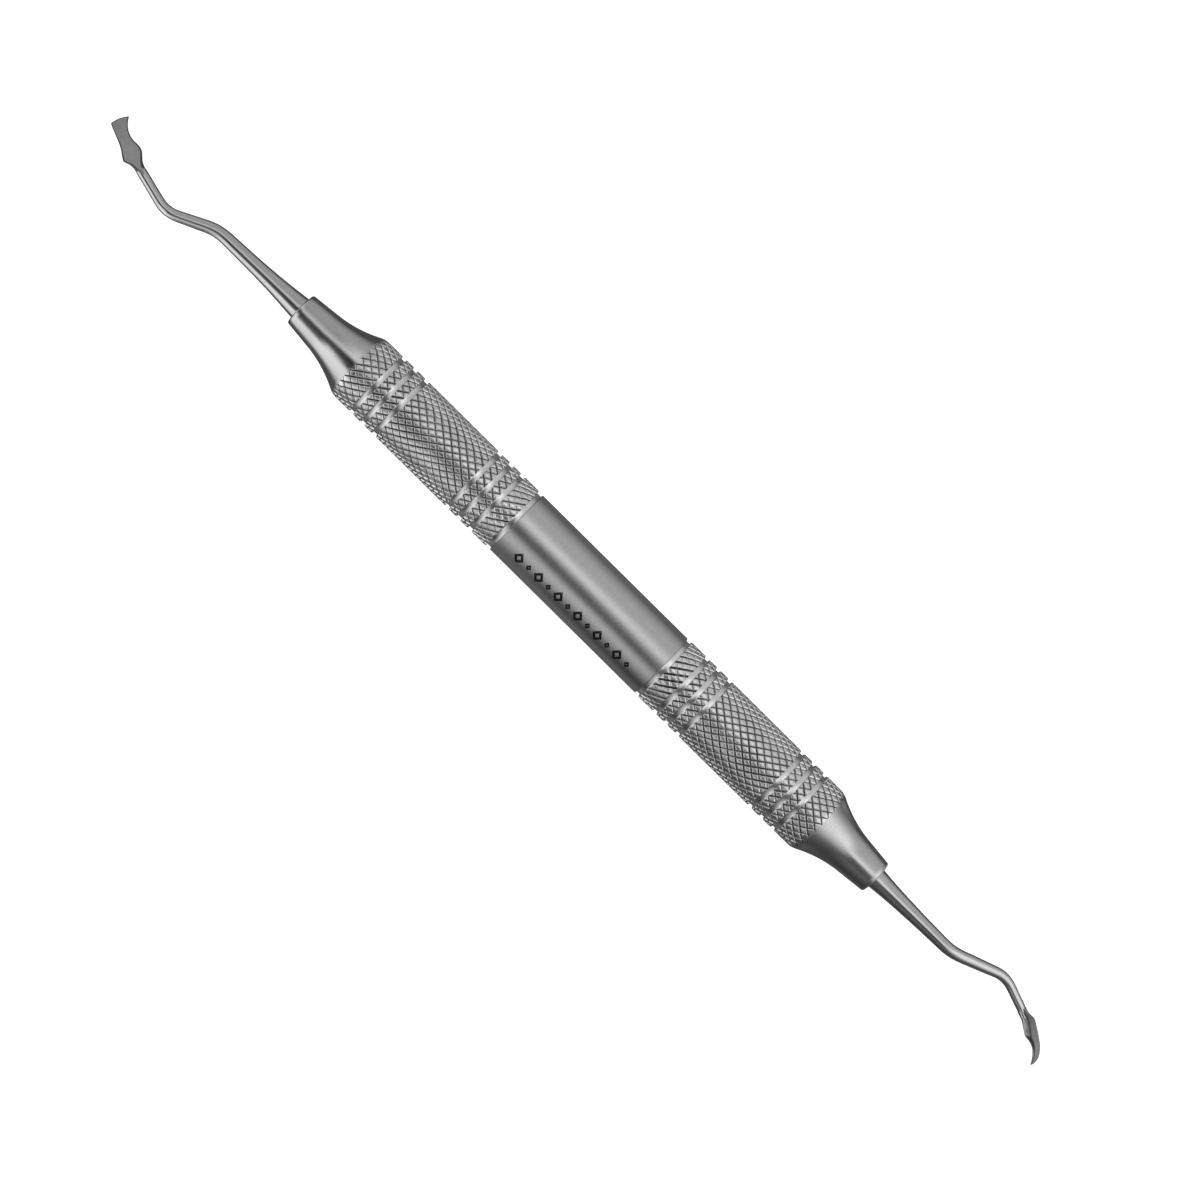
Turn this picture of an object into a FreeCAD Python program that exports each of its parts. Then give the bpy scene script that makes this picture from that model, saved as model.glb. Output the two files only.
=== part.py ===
import FreeCAD, Part
import math
import os
import Sketcher
from FreeCAD import Placement, Rotation, Vector

# Double-ended dental hand instrument: a hollow knurled handle lying along X, with a pressed-in
# working end at each side.  End b points along +X and end a along -X.  The origin is the middle
# of the handle, on its axis.  Millimetres.

DIMENSIONS = {
    # handle
    "crest_radius": 5.0,
    "barrel_radius": 4.93,
    "groove_radius": 4.62,
    "barrel_bore_radius": 4.1,
    "grip_bore_radius": 3.4,
    "barrel_length": 26.61,
    "barrel_edge_chamfer": 0.08,
    "groove_width": 0.68,
    "ring_width": 1.38,
    "wide_ring_width": 2.62,
    "main_band_width": 12.72,
    "grip_spigot_length": 6.0,
    # nose cones
    "shoulder_band_width": 2.27,
    "shoulder_arc_radius": 3.4,
    "flare_arc_radius": 16.9,
    "taper_angle": 5.9,
    "nose_radius": 2.45,
    "nose_edge_chamfer": 0.25,
    "cone_length": 13.82,
    "cone_spigot_length": 5.0,
    "cone_relief_radius": 2.3,
    "cone_relief_depth": 7.0,
    # working ends
    "tang_radius": 1.3,
    "tang_length": 10.0,
    "first_bend_radius": 7.0,
    "second_bend_radius": 4.0,
}

# A working end is drawn with its handle's axis along +X and its nose face at x = 0.
# corners: where the shank's centre line bends, and where its round part stops.
# radii: distance along the centre line from the nose face, and the shank's radius there.
# base, heading, lean: where the blade's front face starts, the direction that the blade takes in
# the XY plane, and how far its front face is turned about that direction, in degrees.
# sections: distance along the blade, the height of its front face, the two side edges of that
# face across the blade, the thickness, and the roundness of the sides and back (1 as on the
# shank, 0 flat).
END_A = {
    "corners": [(0.0, 0.0, 0.0), (14.71, 0.28, 0.0), (21.09, 3.35, 0.85), (26.99, 1.9, -0.74)],
    "radii": [(0.0, 1.68), (1.4, 1.54), (2.7, 1.41), (4.7, 1.25), (6.8, 1.13), (8.9, 1.04), (12.1, 0.955),
              (14.1, 0.9), (17.5, 0.83), (21.0, 0.76), (24.0, 0.7), (30.0, 0.7)],
    "base": (29.29, 1.34, -1.03),
    "heading": -24.6,
    "lean": 0.0,
    "sections": [(-1.46, 0.6, -0.2, 0.8, 1.0, 0.9), (-0.68, 0.28, -0.66, 0.93, 0.85, 0.7),
                 (0.0, 0.0, -1.28, 1.2, 0.8, 0.4), (0.6, -0.26, -1.3, 1.34, 0.75, 0.2),
                 (1.41, -0.63, -1.17, 1.18, 0.6, 0.1), (2.32, -1.09, -1.12, 0.78, 0.5, 0.0),
                 (3.22, -1.59, -1.16, 0.59, 0.45, 0.0), (4.07, -2.1, -1.21, 0.64, 0.38, 0.0),
                 (4.92, -2.66, -1.28, 0.91, 0.26, 0.0), (5.68, -3.18, -1.27, 1.27, 0.08, 0.0)],
}
END_B = {
    "corners": [(0.0, 0.0, 0.0), (13.98, 0.04, 0.0), (21.71, 2.81, -2.3), (26.28, 1.17, -2.14)],
    "radii": [(0.0, 1.51), (1.4, 1.37), (2.6, 1.27), (4.7, 1.145), (6.8, 1.045), (8.9, 0.965), (12.1, 0.89),
              (14.1, 0.87), (18.1, 0.815), (21.1, 0.74), (24.4, 0.65), (30.0, 0.64)],
    "base": (28.05, 1.20, -1.94),
    "heading": -44.2,
    "lean": 62.0,
    "sections": [(-0.9, -0.6, -0.54, 0.7, 0.95, 0.9), (0.0, -0.08, -1.24, 1.06, 1.0, 0.6),
                 (1.04, 0.25, -1.21, 1.25, 1.05, 0.3), (2.02, 0.4, -1.36, 1.45, 0.9, 0.1),
                 (2.84, 0.47, -1.51, 0.92, 0.6, 0.0), (3.65, 0.48, -1.72, 0.42, 0.44, 0.0),
                 (4.56, 0.38, -1.76, 0.27, 0.36, 0.0), (5.35, 0.19, -1.56, 0.43, 0.24, 0.0),
                 (5.93, -0.05, -0.55, 0.7, 0.08, 0.0)],
}

doc = FreeCAD.newDocument("hand_instrument")
dims = doc.addObject("Spreadsheet::Sheet", "dims")
for row, (alias, size) in enumerate(DIMENSIONS.items(), start=1):
    dims.set(f"A{row}", alias)
    dims.set(f"B{row}", str(size))
    dims.setAlias(f"B{row}", alias)
doc.recompute()


def cell(alias):
    """The sheet's value for one dimension."""
    return float(dims.get(alias))


def bound(expression):
    """The same expression with each dimension's name pointing at its cell."""
    words = expression.split()
    return " ".join(f"dims.{word}" if word in DIMENSIONS else word for word in words)


def number(expression):
    """What an expression of dimensions comes to now."""
    return float(dims.evalExpression(bound(expression)))


def new_body(label):
    body = doc.addObject("PartDesign::Body", label)
    body.Label = label
    return body


def origin_feature(body, role):
    return next(item for item in body.Origin.OriginFeatures if item.Role == role)


def new_sketch(body, label, role="XY_Plane", place=None):
    """A sketch on one of the body's own planes, or moved from it to a place in the body."""
    sketch = body.newObject("Sketcher::SketchObject", f"{body.Label}_{label}")
    plane = origin_feature(body, role)
    sketch.AttachmentSupport = [(plane, "")]
    sketch.MapMode = "FlatFace"
    if place is not None:
        sketch.AttachmentOffset = plane.Placement.inverse() * place
    return sketch


def drive(sketch, constraint, expression):
    """Adds a dimension to a sketch and binds it to the sheet."""
    index = sketch.addConstraint(constraint)
    sketch.setExpression(f"Constraints[{index}]", bound(expression))


def pin_point(sketch, edge, end, x_expression, y_expression):
    """Fixes one end of an edge at bound distances from the sketch's origin."""
    for kind, expression in (("DistanceX", x_expression), ("DistanceY", y_expression)):
        if expression == "0":
            on_axis = -2 if kind == "DistanceX" else -1
            sketch.addConstraint(Sketcher.Constraint("PointOnObject", edge, end, on_axis))
        else:
            drive(sketch, Sketcher.Constraint(kind, -1, 1, edge, end, number(expression)), expression)


def polygon(sketch, points):
    """A closed outline through points given as pairs of expressions."""
    places = [Vector(number(x), number(y), 0) for x, y in points]
    count = len(places)
    for index in range(count):
        sketch.addGeometry(Part.LineSegment(places[index], places[(index + 1) % count]))
    for index in range(count):
        sketch.addConstraint(Sketcher.Constraint("Coincident", index, 2, (index + 1) % count, 1))
        pin_point(sketch, index, 1, *points[index])


def revolve(body, sketch, kind, label):
    feature = body.newObject(kind, f"{body.Label}_{label}")
    feature.Profile = sketch
    feature.ReferenceAxis = (origin_feature(body, "X_Axis"), [""])
    feature.Angle = 360.0
    return feature


def place_on_axis(body, distance, side):
    """Puts a body along the handle's axis; side a is turned half way round the Z axis."""
    turn = 0.0 if side == "b" else 180.0
    sign = "" if side == "b" else "-"
    body.Placement = Placement(Vector(0, 0, 0), Rotation(Vector(0, 0, 1), turn))
    body.setExpression(".Placement.Base.x", f"{sign}({bound(distance)})")


def must_remove(body, feature, less_than):
    """Recomputes and stops if a cutting feature took nothing away."""
    doc.recompute()
    if not feature.Shape.Volume < less_than - 1e-6:
        raise RuntimeError(f"{feature.Label} removes nothing from {body.Label}")


# ---------------------------------------------------------------- handle

GRIP_LENGTH = "7 * groove_width + wide_ring_width + 4 * ring_width + main_band_width"


def centre_barrel():
    body = new_body("centre_barrel")
    sketch = new_sketch(body, "wall")
    polygon(sketch, [
        ("0", "barrel_bore_radius"),
        ("0", "barrel_radius - barrel_edge_chamfer"),
        ("barrel_edge_chamfer", "barrel_radius"),
        ("barrel_length - barrel_edge_chamfer", "barrel_radius"),
        ("barrel_length", "barrel_radius - barrel_edge_chamfer"),
        ("barrel_length", "barrel_bore_radius"),
    ])
    revolve(body, sketch, "PartDesign::Revolution", "tube")
    body.setExpression(".Placement.Base.x", bound("-0.5 * barrel_length"))
    return body


def ring_grooves(body, label, start, count):
    """Equal turned grooves, one ring apart."""
    before = body.Shape.Volume
    sketch = new_sketch(body, f"{label}_profile")
    polygon(sketch, [
        (start, "groove_radius"),
        (start, "crest_radius + 0.5"),
        (f"{start} + groove_width", "crest_radius + 0.5"),
        (f"{start} + groove_width", "groove_radius"),
    ])
    groove = revolve(body, sketch, "PartDesign::Groove", label)
    must_remove(body, groove, before)
    pattern = body.newObject("PartDesign::LinearPattern", f"{body.Label}_{label}_row")
    pattern.Originals = [groove]
    pattern.Direction = (origin_feature(body, "X_Axis"), [""])
    pattern.Occurrences = count
    pattern.Length = number(f"{count - 1} * ( groove_width + ring_width )")
    pattern.setExpression("Length", bound(f"{count - 1} * ( groove_width + ring_width )"))
    body.Tip = pattern
    must_remove(body, pattern, groove.Shape.Volume)


def grip_sleeve(side):
    """A knurled grip's tube, its crests drawn as plain lands, with a spigot for the barrel."""
    body = new_body(f"grip_sleeve_{side}")
    end = f"grip_spigot_length + {GRIP_LENGTH}"
    sketch = new_sketch(body, "wall")
    polygon(sketch, [
        ("0", "grip_bore_radius"),
        ("0", "barrel_bore_radius"),
        ("grip_spigot_length", "barrel_bore_radius"),
        ("grip_spigot_length", "groove_radius"),
        ("grip_spigot_length + groove_width", "groove_radius"),
        ("grip_spigot_length + groove_width", "crest_radius"),
        (f"{end} - groove_width", "crest_radius"),
        (f"{end} - groove_width", "groove_radius"),
        (end, "groove_radius"),
        (end, "grip_bore_radius"),
    ])
    revolve(body, sketch, "PartDesign::Revolution", "tube")
    doc.recompute()
    ring_grooves(body, "inner_rings", "grip_spigot_length + groove_width + wide_ring_width", 3)
    ring_grooves(body, "outer_rings", f"{end} - 3 * groove_width - 2 * ring_width", 2)
    place_on_axis(body, "0.5 * barrel_length - grip_spigot_length", side)
    return body


# ---------------------------------------------------------------- nose cones

def cone_outline():
    """Where the cone's shoulder arc, flare arc and straight taper run into each other."""
    taper = math.radians(cell("taper_angle"))
    shoulder = cell("shoulder_arc_radius")
    flare = cell("flare_arc_radius")
    start = Vector(number("cone_spigot_length + shoulder_band_width"), cell("crest_radius"), 0)
    nose = Vector(number("cone_spigot_length + cone_length"), cell("nose_radius"), 0)
    back = Vector(-math.cos(taper), math.sin(taper), 0)
    outward = Vector(math.sin(taper), math.cos(taper), 0)
    shoulder_centre = start - Vector(0, shoulder, 0)
    gap = nose + outward * flare - shoulder_centre
    half = gap.dot(back)
    run = -half - math.sqrt(half ** 2 - gap.dot(gap) + (shoulder + flare) ** 2)
    flare_centre = nose + back * run + outward * flare
    meeting = flare_centre + (shoulder_centre - flare_centre) * (flare / (shoulder + flare))
    return start, shoulder_centre, meeting, flare_centre, nose + back * run, nose, back


def arc(centre, radius, begin, finish):
    """The sketch arc of a circle from one point round to another, anticlockwise."""
    angles = [math.atan2(point.y - centre.y, point.x - centre.x) for point in (begin, finish)]
    return Part.ArcOfCircle(Part.Circle(centre, Vector(0, 0, 1), radius), *angles)


def nose_cone(side):
    """Shoulder band and trumpet-shaped cone in one turned piece, with a spigot and a tang bore."""
    body = new_body(f"nose_cone_{side}")
    start, shoulder_centre, meeting, flare_centre, taper_end, nose, back = cone_outline()
    taper_stop = nose + back * cell("nose_edge_chamfer")
    corners = [
        ("0", "cone_relief_radius"),
        ("0", "grip_bore_radius"),
        ("cone_spigot_length", "grip_bore_radius"),
        ("cone_spigot_length", "crest_radius"),
        ("cone_spigot_length + shoulder_band_width", "crest_radius"),
    ]
    face = [
        ("cone_spigot_length + cone_length", "nose_radius - nose_edge_chamfer"),
        ("cone_spigot_length + cone_length", "tang_radius"),
        ("cone_relief_depth", "tang_radius"),
        ("cone_relief_depth", "cone_relief_radius"),
    ]
    sketch = new_sketch(body, "wall")
    first = [Vector(number(x), number(y), 0) for x, y in corners]
    last = [Vector(number(x), number(y), 0) for x, y in face]
    edges = [Part.LineSegment(one, two) for one, two in zip(first, first[1:])]
    edges.append(arc(shoulder_centre, cell("shoulder_arc_radius"), meeting, start))
    edges.append(arc(flare_centre, cell("flare_arc_radius"), meeting, taper_end))
    edges.append(Part.LineSegment(taper_end, taper_stop))
    edges += [Part.LineSegment(one, two) for one, two in zip([taper_stop] + last, last + first[:1])]
    sketch.addGeometry(edges)
    band, shoulder_arc, flare_arc, taper_line, chamfer, face_line = 3, 4, 5, 6, 7, 8
    count = len(edges)
    for edge in (0, 1, 2, *range(taper_line, count)):
        sketch.addConstraint(Sketcher.Constraint("Coincident", edge, 2, (edge + 1) % count, 1))
    for edge, corner in enumerate(corners[:-1]):
        pin_point(sketch, edge, 1, *corner)
    pin_point(sketch, band, 2, *corners[-1])
    for edge, corner in enumerate(face, start=face_line):
        pin_point(sketch, edge, 1, *corner)
    sketch.addConstraint(Sketcher.Constraint("Tangent", band, 2, shoulder_arc, 2))
    sketch.addConstraint(Sketcher.Constraint("Tangent", shoulder_arc, 1, flare_arc, 1))
    sketch.addConstraint(Sketcher.Constraint("Tangent", flare_arc, 2, taper_line, 1))
    drive(sketch, Sketcher.Constraint("Radius", shoulder_arc, cell("shoulder_arc_radius")),
          "shoulder_arc_radius")
    drive(sketch, Sketcher.Constraint("Radius", flare_arc, cell("flare_arc_radius")),
          "flare_arc_radius")
    pin_point(sketch, chamfer, 1,
              "cone_spigot_length + cone_length - nose_edge_chamfer * cos( taper_angle )",
              "nose_radius + nose_edge_chamfer * sin( taper_angle )")
    revolve(body, sketch, "PartDesign::Revolution", "turning")
    place_on_axis(body, f"0.5 * barrel_length + {GRIP_LENGTH} - cone_spigot_length", side)
    return body


# ---------------------------------------------------------------- working ends

STATION_SPACING = 1.2
DEGREES_PER_STATION = 9
TANG_OVERLAP = 0.2
QUARTER_BOW = math.tan(math.pi / 8) / 2


def rounded_path(corners, bend_radii):
    """Stations (place, direction) along straight runs joined by tangent arcs."""
    points = [Vector(*corner) for corner in corners]
    stations = [(points[0], (points[1] - points[0]).normalize())]
    for before, corner, after, radius in zip(points, points[1:], points[2:], bend_radii):
        arriving = (corner - before).normalize()
        leaving = (after - corner).normalize()
        turn = arriving.getAngle(leaving)
        reach = radius * math.tan(turn / 2)
        axis = arriving.cross(leaving).normalize()
        centre = corner - arriving * reach + axis.cross(arriving) * radius
        steps = max(2, round(math.degrees(turn) / DEGREES_PER_STATION))
        for step in range(steps + 1):
            swing = Rotation(axis, math.degrees(turn) * step / steps)
            arm = swing.multVec(corner - arriving * reach - centre)
            stations.append((centre + arm, swing.multVec(arriving)))
    stations.append((points[-1], (points[-1] - points[-2]).normalize()))
    return stations


def filled_in(stations, spacing):
    """The same stations with more of them along the long straight runs."""
    filled = [stations[0]]
    for place, direction in stations[1:]:
        last, heading = filled[-1]
        steps = math.ceil((place - last).Length / spacing)
        for step in range(1, steps):
            filled.append((last + (place - last) * (step / steps), heading))
        filled.append((place, direction))
    return filled


def radius_at(table, distance):
    """Straight-line reading of a table of distances and radii."""
    for (low, first), (high, second) in zip(table, table[1:]):
        if distance <= high:
            return first + (second - first) * (distance - low) / (high - low)
    return table[-1][1]


def blade_directions(end):
    """Unit vectors along the blade and across it."""
    heading = math.radians(end["heading"])
    lean = math.radians(end["lean"])
    along = Vector(math.cos(heading), math.sin(heading), 0)
    level = Vector(0, 0, 1).cross(along)
    return along, Vector(0, 0, 1) * math.sin(lean) - level * math.cos(lean)


def four_sided(body, label, frame, corners, bows):
    """A section with four corners and four edges, each straight or bowed outward."""
    place, along, across = frame
    side = (across - along * across.dot(along)).normalize()
    turn = Rotation(side, along.cross(side), along)
    sketch = new_sketch(body, label, "YZ_Plane", Placement(place, turn))
    points = [Vector(x, y, 0) for x, y in corners]
    for here, there, bow in zip(points, points[1:] + points[:1], bows):
        chord = there - here
        if bow:
            middle = (here + there) / 2 + Vector(chord.y, -chord.x, 0) * bow
            sketch.addGeometry(Part.Arc(here, middle, there))
        else:
            sketch.addGeometry(Part.LineSegment(here, there))
    for edge in range(4):
        sketch.addConstraint(Sketcher.Constraint("Coincident", edge, 2, (edge + 1) % 4, 1))
    for edge in range(4):
        sketch.addConstraint(Sketcher.Constraint("Block", edge))
    return sketch


def shank_sections(body, end):
    """Circles set square to the shank's bent and tapering centre line, drawn as four arcs."""
    along, across = blade_directions(end)
    bends = (cell("first_bend_radius"), cell("second_bend_radius"))
    stations = filled_in(rounded_path(end["corners"], bends), STATION_SPACING)
    sketches = []
    travelled = 0.0
    last = stations[0][0]
    for index, (place, direction) in enumerate(stations):
        travelled += (place - last).Length
        last = place
        reach = radius_at(end["radii"], travelled) * math.sqrt(0.5)
        corners = [(-reach, -reach), (reach, -reach), (reach, reach), (-reach, reach)]
        frame = (place, direction, across)
        sketches.append(four_sided(body, f"shank_{index}", frame, corners, [QUARTER_BOW] * 4))
    return sketches


def blade_sections(body, end):
    """Sections square to the blade's length, with a flat front face."""
    along, across = blade_directions(end)
    sketches = []
    for index, (distance, rise, low, high, thickness, roundness) in enumerate(end["sections"]):
        back = thickness - rise
        corners = [(low, -rise), (high, -rise), (high, back), (low, back)]
        bows = [0.0] + [roundness * QUARTER_BOW] * 3
        frame = (Vector(*end["base"]) + along * distance, along, across)
        sketches.append(four_sided(body, f"blade_{index}", frame, corners, bows))
    return sketches


def working_end(side, end):
    """Tang, shank and blade in one piece; the round shank runs out into the flat blade."""
    body = new_body(f"working_end_{side}")
    square = Rotation(Vector(0, 1, 0), Vector(0, 0, 1), Vector(1, 0, 0))
    seat = Placement(Vector(-cell("tang_length"), 0, 0), square)
    tang = new_sketch(body, "tang_section", "YZ_Plane", seat)
    tang.addGeometry(Part.Circle(Vector(0, 0, 0), Vector(0, 0, 1), cell("tang_radius")))
    tang.addConstraint(Sketcher.Constraint("Coincident", 0, 3, -1, 1))
    drive(tang, Sketcher.Constraint("Radius", 0, cell("tang_radius")), "tang_radius")
    pad = body.newObject("PartDesign::Pad", f"{body.Label}_tang")
    pad.Profile = tang
    pad.setExpression("Length", f"{bound('tang_length')} + {TANG_OVERLAP}")
    doc.recompute()
    sections = shank_sections(body, end) + blade_sections(body, end)
    loft = body.newObject("PartDesign::AdditiveLoft", f"{body.Label}_loft")
    loft.Profile = sections[0]
    loft.Sections = sections[1:]
    place_on_axis(body, f"0.5 * barrel_length + {GRIP_LENGTH} + cone_length", side)
    return body


# ---------------------------------------------------------------- build, check and write

SHORTEST_REACH = 84.0  # from the middle of the handle to a blade's cutting edge

parts = [centre_barrel()]
for side, end in (("a", END_A), ("b", END_B)):
    parts += [grip_sleeve(side), nose_cone(side), working_end(side, end)]
doc.recompute()

for item in doc.Objects:
    if "Invalid" in item.State or "Error" in item.State:
        raise RuntimeError(f"{item.Label} did not build: {item.State}")
for part in parts:
    if part.Shape.isNull() or not part.Shape.isValid() or len(part.Shape.Solids) != 1:
        raise RuntimeError(f"{part.Label} is not one valid solid")
    if part.Label.startswith("working_end"):
        box = part.Shape.BoundBox
        widest = max(abs(limit) for limit in (box.YMin, box.YMax, box.ZMin, box.ZMax))
        if widest > DIMENSIONS["crest_radius"] or max(-box.XMin, box.XMax) < SHORTEST_REACH:
            raise RuntimeError(f"{part.Label} is misshapen")

os.makedirs("parts", exist_ok=True)
for part in parts:
    part.Shape.exportStep(f"parts/{part.Label}.step")
    box = part.Shape.BoundBox
    print(f"{part.Label}: {part.Shape.Volume:.2f} mm3, x {box.XMin:.2f} to {box.XMax:.2f}, "
          f"y {box.YMin:.2f} to {box.YMax:.2f}, z {box.ZMin:.2f} to {box.ZMax:.2f}")
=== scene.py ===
import math

import bmesh
import bpy
import numpy as np
from mathutils import Matrix, Vector


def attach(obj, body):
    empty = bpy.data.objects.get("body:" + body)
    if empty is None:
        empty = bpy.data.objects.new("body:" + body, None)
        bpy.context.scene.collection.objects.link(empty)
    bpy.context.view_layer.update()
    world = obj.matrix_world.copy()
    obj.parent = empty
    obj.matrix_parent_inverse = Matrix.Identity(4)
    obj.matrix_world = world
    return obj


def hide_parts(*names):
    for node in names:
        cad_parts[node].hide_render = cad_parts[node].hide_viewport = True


# A double-ended dental hand instrument.  Lengths in this script are millimetres in the CAD frame
# (X along the handle, Z up) and are turned into metres when a mesh is made.  Only the materials
# work in metres: their noise scales are per metre, and so are their relief depths.

MM = 0.001

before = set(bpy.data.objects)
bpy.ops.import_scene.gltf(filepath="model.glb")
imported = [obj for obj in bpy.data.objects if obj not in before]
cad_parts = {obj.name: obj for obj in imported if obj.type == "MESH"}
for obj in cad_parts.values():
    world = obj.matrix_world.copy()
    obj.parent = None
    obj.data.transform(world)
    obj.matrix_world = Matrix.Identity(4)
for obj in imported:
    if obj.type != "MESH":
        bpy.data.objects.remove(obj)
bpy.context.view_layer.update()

# ---------------------------------------------------------------- sizes, as on the CAD model

CREST_RADIUS = 4.998        # over the knurl's crests
BARREL_RADIUS = 4.93
GROOVE_RADIUS = 4.62        # at the bottom of the turned grooves
GRIP_BORE_RADIUS = 3.4
TANG_RADIUS = 1.3
BARREL_HALF = 13.305        # half the length of the smooth middle
GROOVE = 0.68               # widths along the handle, from here to the shoulder band's
RING = 1.38
WIDE_RING = 2.62
MAIN_BAND = 12.72
SHOULDER_BAND = 2.27
CONE_LENGTH = 13.82         # shoulder band and polished cone together
SHOULDER_ARC = 3.4          # radius of the cone's round shoulder
FLARE_ARC = 16.9            # radius of its hollow flare
TAPER = math.radians(5.9)   # slope that the flare has at the nose
NOSE_RADIUS = 2.45
NOSE_EDGE = 0.25            # size of the nose's rounded edge

CONE_START = BARREL_HALF + 7 * GROOVE + WIDE_RING + 4 * RING + MAIN_BAND
NOSE_FACE = CONE_START + CONE_LENGTH


# ---------------------------------------------------------------- mesh helpers

def new_mesh(name, vertices, faces):
    """A mesh from millimetre coordinates."""
    mesh = bpy.data.meshes.new(name)
    mesh.from_pydata((np.asarray(vertices, float) * MM).tolist(), [], faces)
    mesh.update()
    return mesh


def show(mesh, material, smooth=True):
    """Puts a mesh in the scene as an object of the same name."""
    for polygon in mesh.polygons:
        polygon.use_smooth = smooth
    mesh.materials.append(material)
    item = bpy.data.objects.new(mesh.name, mesh)
    bpy.context.scene.collection.objects.link(item)
    return item


def clean(mesh):
    """Joins vertices that coincide and turns every face outwards."""
    work = bmesh.new()
    work.from_mesh(mesh)
    bmesh.ops.remove_doubles(work, verts=work.verts[:], dist=1e-8)
    bmesh.ops.recalc_face_normals(work, faces=work.faces[:])
    work.to_mesh(mesh)
    work.free()


def tube_faces(rows, columns):
    """Quads between the rows of a tube whose vertices run row by row."""
    faces = []
    for row in range(rows - 1):
        for column in range(columns):
            after = (column + 1) % columns
            faces.append((row * columns + column, row * columns + after,
                          (row + 1) * columns + after, (row + 1) * columns + column))
    return faces


LATHE_SEGMENTS = 288


def lathe(name, outline, material, segments=LATHE_SEGMENTS, side=1, ring=False):
    """A turned surface from (x, radius) pairs; as a ring, its outline closes on itself."""
    angles = np.arange(segments) * (2 * math.pi / segments)
    vertices = []
    for x, radius in outline:
        vertices += [(side * x, radius * math.sin(a), radius * math.cos(a)) for a in angles]
    faces = tube_faces(len(outline), segments)
    if ring:
        last = (len(outline) - 1) * segments
        for column in range(segments):
            after = (column + 1) % segments
            faces.append((last + column, last + after, after, column))
    item = show(new_mesh(name, vertices, faces), material)
    clean(item.data)
    return item


# ---------------------------------------------------------------- materials

# Noise scales that every steel shares.
PATCH_SCALE = 260.0
SPECK_SCALE = 5200.0


def new_material(name, grey, metallic, roughness):
    """A material, its node tree and its shader."""
    material = bpy.data.materials.new(name)
    material.use_nodes = True
    shader = material.node_tree.nodes["Principled BSDF"]
    shader.inputs["Base Color"].default_value = (grey, grey, grey, 1)
    shader.inputs["Metallic"].default_value = metallic
    shader.inputs["Roughness"].default_value = roughness
    return material, Nodes(material.node_tree), shader


class Nodes:
    """Short calls for wiring up a node tree."""

    def __init__(self, tree):
        self.tree = tree

    def new(self, kind, **settings):
        node = self.tree.nodes.new(kind)
        for key, value in settings.items():
            setattr(node, key, value)
        return node

    def link(self, output, socket):
        self.tree.links.new(output, socket)

    def feed(self, node, *values, first=0):
        """Sets or links a node's inputs in their order, starting from one of them."""
        for socket, value in zip(node.inputs[first:], values):
            if isinstance(value, bpy.types.NodeSocket):
                self.link(value, socket)
            else:
                socket.default_value = value

    def place(self):
        """Where a point is on its object, in metres."""
        return self.new("ShaderNodeTexCoord").outputs["Object"]

    def math(self, operation, *values):
        node = self.new("ShaderNodeMath", operation=operation)
        self.feed(node, *values)
        return node.outputs[0]

    def remap(self, value, low, high, to_low=0.0, to_high=1.0, smooth=False):
        node = self.new("ShaderNodeMapRange",
                        interpolation_type="SMOOTHSTEP" if smooth else "LINEAR")
        self.feed(node, value, low, high, to_low, to_high)
        return node.outputs[0]

    def mix(self, share, one, other):
        """One number where share is 0, the other where it is 1."""
        node = self.new("ShaderNodeMix", data_type="FLOAT")
        self.feed(node, share)
        self.feed(node, one, other, first=2)
        return node.outputs[0]

    def ramp(self, value, stops):
        """A grey read off from (place, grey) stops, in straight lines between them."""
        node = self.new("ShaderNodeValToRGB")
        ramp = node.color_ramp
        ramp.interpolation = "LINEAR"
        while len(ramp.elements) < len(stops):
            ramp.elements.new(0.5)
        for element, (place, grey) in zip(ramp.elements, stops):
            element.position = place
            element.color = (grey, grey, grey, 1)
        self.link(value, node.inputs[0])
        return node.outputs[0]

    def grey(self, value):
        """A colour whose three channels are one value."""
        node = self.new("ShaderNodeCombineColor")
        self.feed(node, value, value, value)
        return node.outputs[0]

    def noise(self, vector, scale, detail=3.0, rough=0.5):
        node = self.new("ShaderNodeTexNoise")
        self.link(vector, node.inputs["Vector"])
        node.inputs["Scale"].default_value = scale
        node.inputs["Detail"].default_value = detail
        node.inputs["Roughness"].default_value = rough
        return node.outputs["Fac"]

    def stretched(self, vector, scale):
        node = self.new("ShaderNodeMapping")
        self.link(vector, node.inputs["Vector"])
        node.inputs["Scale"].default_value = scale
        return node.outputs["Vector"]


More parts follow.
